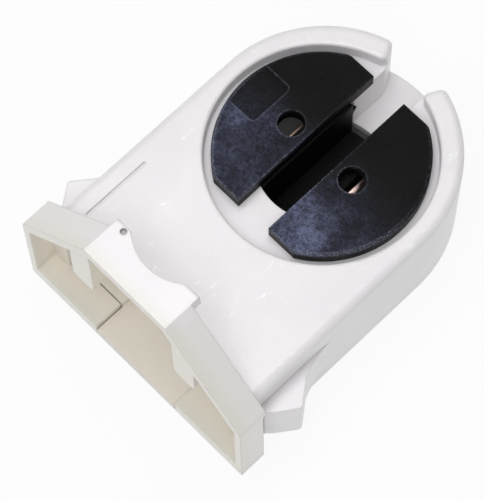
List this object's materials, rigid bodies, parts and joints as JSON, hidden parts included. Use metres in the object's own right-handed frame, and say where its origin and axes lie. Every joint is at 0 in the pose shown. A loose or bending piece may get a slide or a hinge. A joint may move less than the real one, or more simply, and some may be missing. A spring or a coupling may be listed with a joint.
{
  "type": "rotary tube lamp holder",
  "caption": "White plug-in holder for a tube lamp with two pins, with a black slotted rotor, two snap arms and a hollow foot that bears on sheet metal.",
  "frame": {"origin": "on the lamp axis, where it meets the flat back of the holder", "axes": "+X across the holder, +Y from the foot to the mouth that the lamp pins enter, +Z out of the front face along the lamp axis"},
  "size_m": [0.0376, 0.0461, 0.0275],
  "materials": {
    "white_moulding": "glossy white moulded plastic with faint flow marks",
    "white_cover": "satin white moulded plastic",
    "black_moulding": "black moulded plastic with a fine grain",
    "copper_strip": "bright spring bronze strip"
  },
  "bodies": {
    "holder": {"housing": "white_moulding", "rear_cover": "white_cover", "contact_right": "copper_strip", "contact_left": "copper_strip"},
    "rotor": {"rotor": "black_moulding"}
  },
  "joints": [
    {"name": "rotor_turn", "type": "hinge", "parent": "holder", "child": "rotor", "pos_m": [0, 0, 0.0143], "axis": [0, 0, 1], "range_deg": [-90, 90], "deforming": ["contact_right", "contact_left"]}
  ]
}
